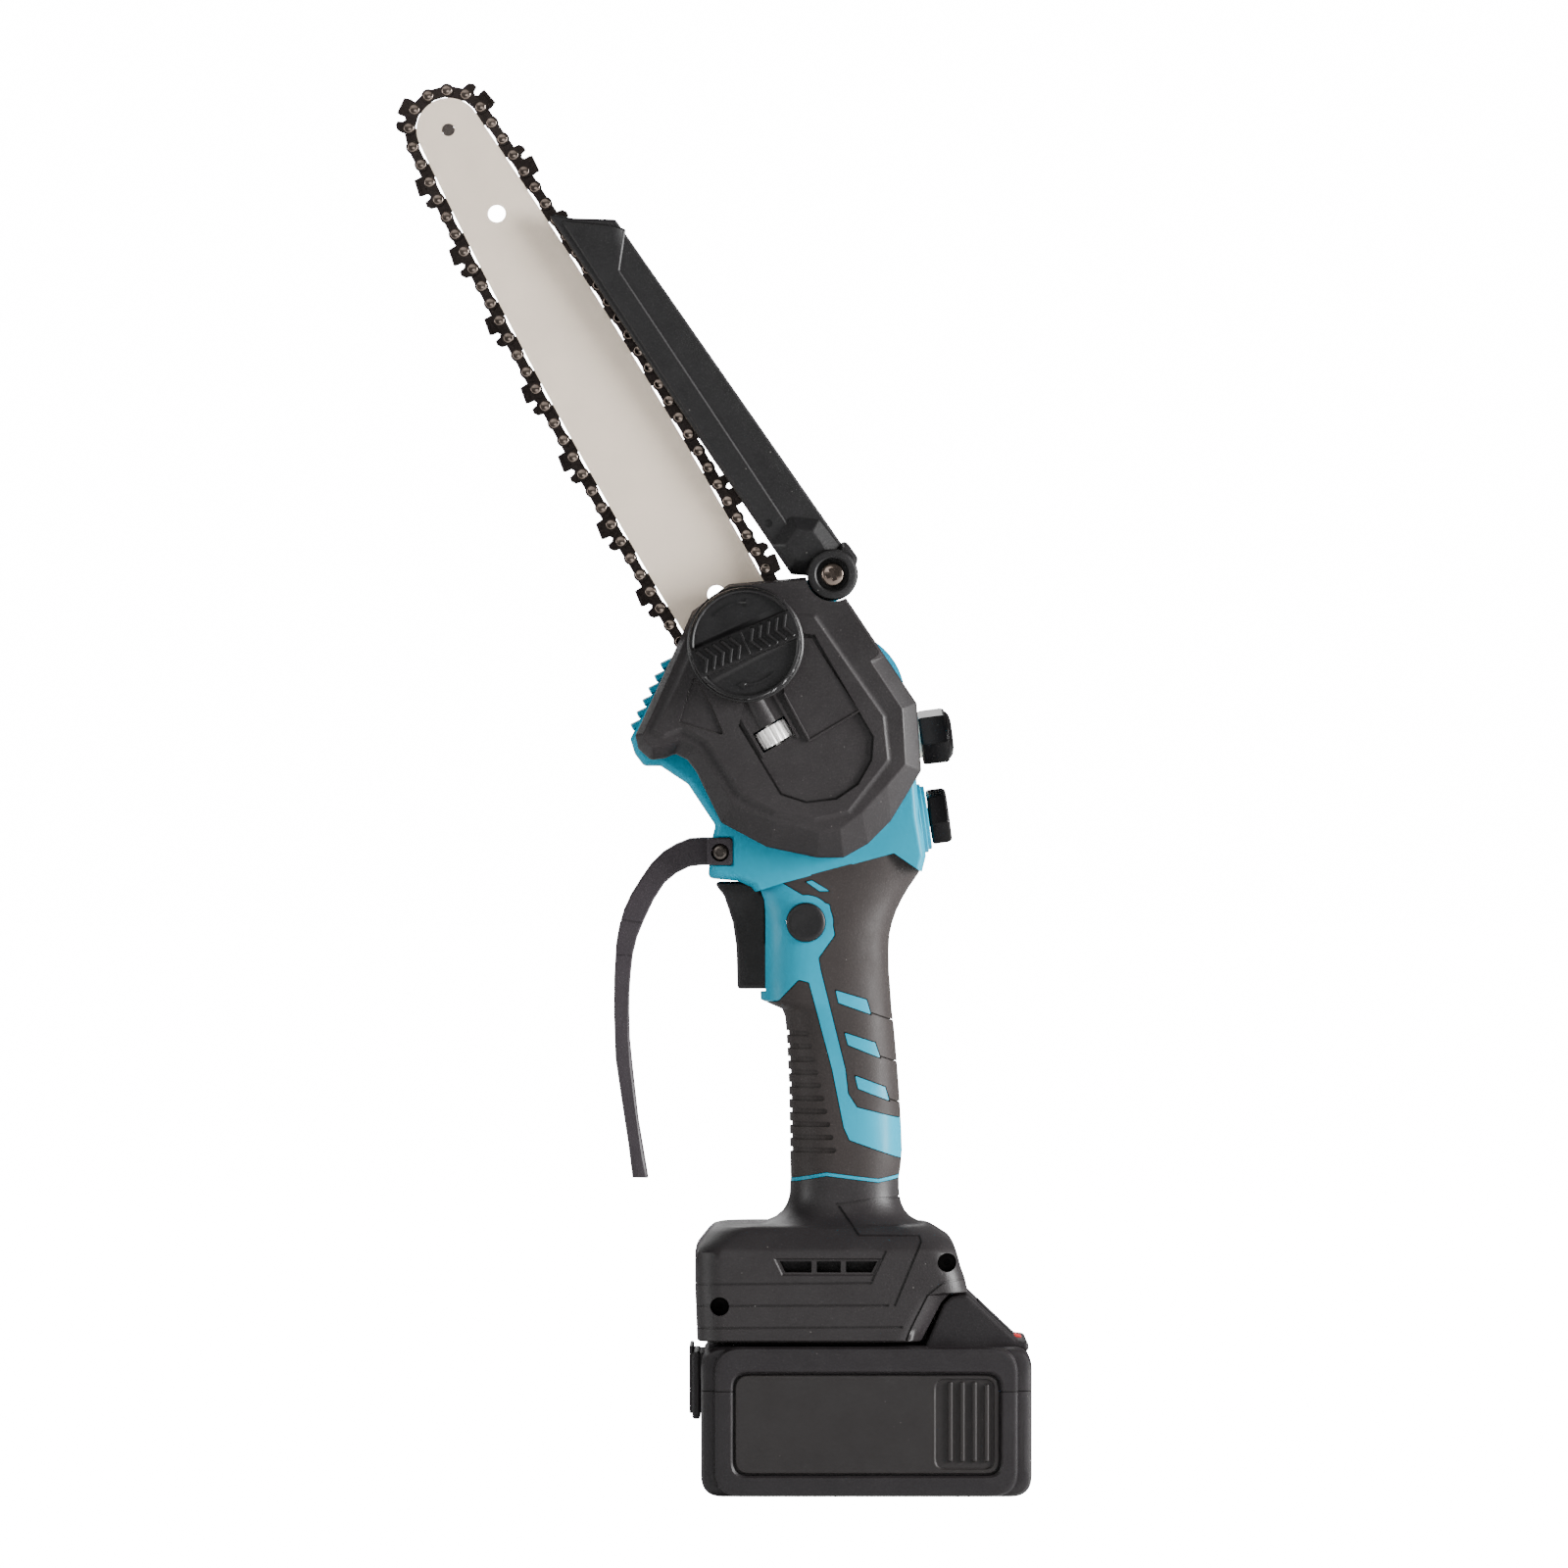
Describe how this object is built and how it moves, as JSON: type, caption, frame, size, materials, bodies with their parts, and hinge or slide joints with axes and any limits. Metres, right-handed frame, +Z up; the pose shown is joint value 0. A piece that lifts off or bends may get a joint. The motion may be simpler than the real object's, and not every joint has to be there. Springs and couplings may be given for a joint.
{
  "type": "cordless mini chainsaw",
  "caption": "Cordless one-handed mini chainsaw with guide bar, cutting chain, hinged chip guard, finger guard, oil tank and slide-on battery base.",
  "frame": {"origin": "centre of the battery's flat base, which the saw stands on", "axes": "+X towards the back of the grip, where the battery slides off; +Y away from the sprocket cover and clamp knob; +Z up"},
  "size_m": [0.2081, 0.0885, 0.4622],
  "materials": {
    "cyan_plastic": "satin moulded cyan plastic",
    "black_plastic": "fine-textured black moulded plastic",
    "guard_plastic": "satin dark grey plastic",
    "rubber_grip": "soft overmoulded rubber",
    "foot_plastic": "fine-textured charcoal plastic",
    "battery_plastic": "fine-textured charcoal plastic",
    "bar_steel": "satin ground steel",
    "bright_steel": "bright machined steel",
    "dark_steel": "dark oxide steel",
    "chain_steel": "oiled dark steel",
    "rivet_steel": "polished rivet heads",
    "aluminium_cast": "cast",
    "brass_insert": "machined",
    "tank_plastic": "translucent natural polyethylene",
    "cap_plastic": "glossy black",
    "cell_wrap": "shrink wrap",
    "circuit_board": "solder mask",
    "wire_jacket": "silicone",
    "motor_steel": "zinc plated can"
  },
  "bodies": {
    "housing": {"housing_near": "cyan_plastic", "housing_far": "cyan_plastic", "grip_near": "rubber_grip", "grip_far": "rubber_grip", "foot_near": "foot_plastic", "foot_far": "foot_plastic", "housing_screws": "dark_steel", "foot_screws": "dark_steel", "gear_frame": "aluminium_cast", "shaft_bearings": "bright_steel", "motor_stator": "motor_steel", "clamp_stud": "bright_steel", "sprocket_cover": "black_plastic", "chip_guard_screw": "dark_steel", "chip_guard_spring": "bright_steel", "hand_guard": "guard_plastic", "hand_guard_screw": "dark_steel", "trigger_spring": "bright_steel", "trigger_switch": "black_plastic", "lock_spring": "bright_steel", "oil_tank": "tank_plastic", "terminal_block": "black_plastic", "controller_board": "circuit_board", "wiring": "wire_jacket"},
    "drive": {"output_shaft": "bright_steel", "drive_gear": "bright_steel", "drive_sprocket": "bright_steel", "sprocket_clip": "dark_steel", "sprocket_wrap_drive_links": "chain_steel", "sprocket_wrap_straps": "chain_steel", "sprocket_wrap_rivets": "rivet_steel"},
    "rotor": {"motor_rotor": "motor_steel", "motor_pinion": "bright_steel", "motor_fan": "black_plastic"},
    "upper_run": {"upper_run_drive_links": "chain_steel", "upper_run_straps": "chain_steel", "upper_run_rivets": "rivet_steel"},
    "nose_wrap": {"nose_wrap_drive_links": "chain_steel", "nose_wrap_straps": "chain_steel", "nose_wrap_rivets": "rivet_steel"},
    "lower_run": {"lower_run_drive_links": "chain_steel", "lower_run_straps": "chain_steel", "lower_run_rivets": "rivet_steel"},
    "bar": {"guide_bar": "bar_steel", "nose_rivet": "dark_steel"},
    "nose_roller": {"nose_roller": "bright_steel"},
    "tension_wheel": {"tension_wheel": "bright_steel", "tension_screw": "bright_steel"},
    "tension_pin": {"tension_pin": "bright_steel"},
    "clamp_knob": {"clamp_knob": "black_plastic", "knob_nut": "brass_insert"},
    "chip_guard": {"chip_guard": "black_plastic"},
    "trigger": {"trigger": "black_plastic"},
    "lock_button": {"lock_button": "black_plastic"},
    "oil_cap": {"oil_cap": "cap_plastic"},
    "oil_knob": {"oil_knob": "cap_plastic"},
    "battery": {"battery_base": "battery_plastic", "battery_top": "battery_plastic", "battery_cells": "cell_wrap"},
    "battery_latch": {"battery_latch": "battery_plastic"}
  },
  "joints": [
    {"name": "drive_turn", "type": "hinge", "parent": "housing", "child": "drive", "pos_m": [-0.02, -0.02, 0.2445], "axis": [0, -1, 0], "range_deg": [-3.55, 3.55]},
    {"name": "rotor_turn", "type": "hinge", "parent": "housing", "child": "rotor", "pos_m": [-0.00899, 0.02, 0.2612], "axis": [0, -1, 0], "range_deg": [-10.65, 10.65]},
    {"name": "upper_run_travel", "type": "slide", "parent": "housing", "child": "upper_run", "axis": [-0.512, 0, 0.859], "range_m": [-0.001, 0.001]},
    {"name": "lower_run_travel", "type": "slide", "parent": "housing", "child": "lower_run", "axis": [0.4879, 0, -0.8729], "range_m": [-0.00101, 0.00101]},
    {"name": "nose_wrap_turn", "type": "hinge", "parent": "housing", "child": "nose_wrap", "pos_m": [-0.1368, -0.02, 0.4468], "axis": [0, -1, 0], "range_deg": [-4.45, 4.45]},
    {"name": "nose_roller_turn", "type": "hinge", "parent": "bar", "child": "nose_roller", "pos_m": [-0.1368, -0.02, 0.4468], "axis": [0, -1, 0], "range_deg": [-4.45, 4.45]},
    {"name": "tension_wheel_turn", "type": "hinge", "parent": "housing", "child": "tension_wheel", "pos_m": [-0.0302, -0.0284, 0.24877], "axis": [-0.5, 0, 0.866], "range_deg": [0, 1543]},
    {"name": "bar_slide", "type": "slide", "parent": "housing", "child": "bar", "axis": [-0.5, 0, 0.866], "range_m": [-0.003, 0]},
    {"name": "tension_pin_slide", "type": "slide", "parent": "housing", "child": "tension_pin", "axis": [-0.5, 0, 0.866], "range_m": [-0.00301, 0]},
    {"name": "clamp_knob_turn", "type": "hinge", "parent": "housing", "child": "clamp_knob", "pos_m": [-0.0395, -0.038, 0.27827], "axis": [0, 1, 0], "continuous": true},
    {"name": "chip_guard_swing", "type": "hinge", "parent": "housing", "child": "chip_guard", "pos_m": [-0.011, -0.02, 0.301], "axis": [0, 1, 0], "range_deg": [0, 75], "stiffness_Nm_per_rad": 0.05, "springref_deg": -28.65, "deforming": ["chip_guard_spring"]},
    {"name": "trigger_pull", "type": "slide", "parent": "housing", "child": "trigger", "axis": [1, 0, 0], "range_m": [0, 0.006], "stiffness_N_per_m": 400, "springref_m": -0.01, "deforming": ["trigger_spring"]},
    {"name": "lock_button_press", "type": "slide", "parent": "housing", "child": "lock_button", "axis": [0, 1, 0], "range_m": [0, 0.003], "stiffness_N_per_m": 500, "springref_m": -0.005, "deforming": ["lock_spring"]},
    {"name": "oil_cap_turn", "type": "hinge", "parent": "housing", "child": "oil_cap", "pos_m": [0.015, 0.027, 0.2475], "axis": [0.9925, 0, 0.1219], "range_deg": [0, 450]},
    {"name": "oil_knob_turn", "type": "hinge", "parent": "housing", "child": "oil_knob", "pos_m": [0.02, 0, 0.2215], "axis": [0.9903, 0, 0.1392], "range_deg": [0, 270]},
    {"name": "battery_slide", "type": "slide", "parent": "housing", "child": "battery", "axis": [1, 0, 0], "range_m": [0, 0.08]},
    {"name": "battery_latch_press", "type": "slide", "parent": "battery", "child": "battery_latch", "axis": [0, 0, -1], "range_m": [0, 0.003], "stiffness_N_per_m": 600, "springref_m": -0.004}
  ],
  "couplings": [
    {"joint": "lower_run_travel", "follows": "upper_run_travel", "ratio": 1},
    {"joint": "drive_turn", "follows": "upper_run_travel", "rad_per_m": 61.446},
    {"joint": "rotor_turn", "follows": "upper_run_travel", "rad_per_m": -184.34},
    {"joint": "nose_wrap_turn", "follows": "upper_run_travel", "rad_per_m": 76.923},
    {"joint": "nose_roller_turn", "follows": "upper_run_travel", "rad_per_m": 76.923},
    {"joint": "tension_wheel_turn", "follows": "bar_slide", "rad_per_m": -8976},
    {"joint": "tension_pin_slide", "follows": "bar_slide", "ratio": 1}
  ]
}
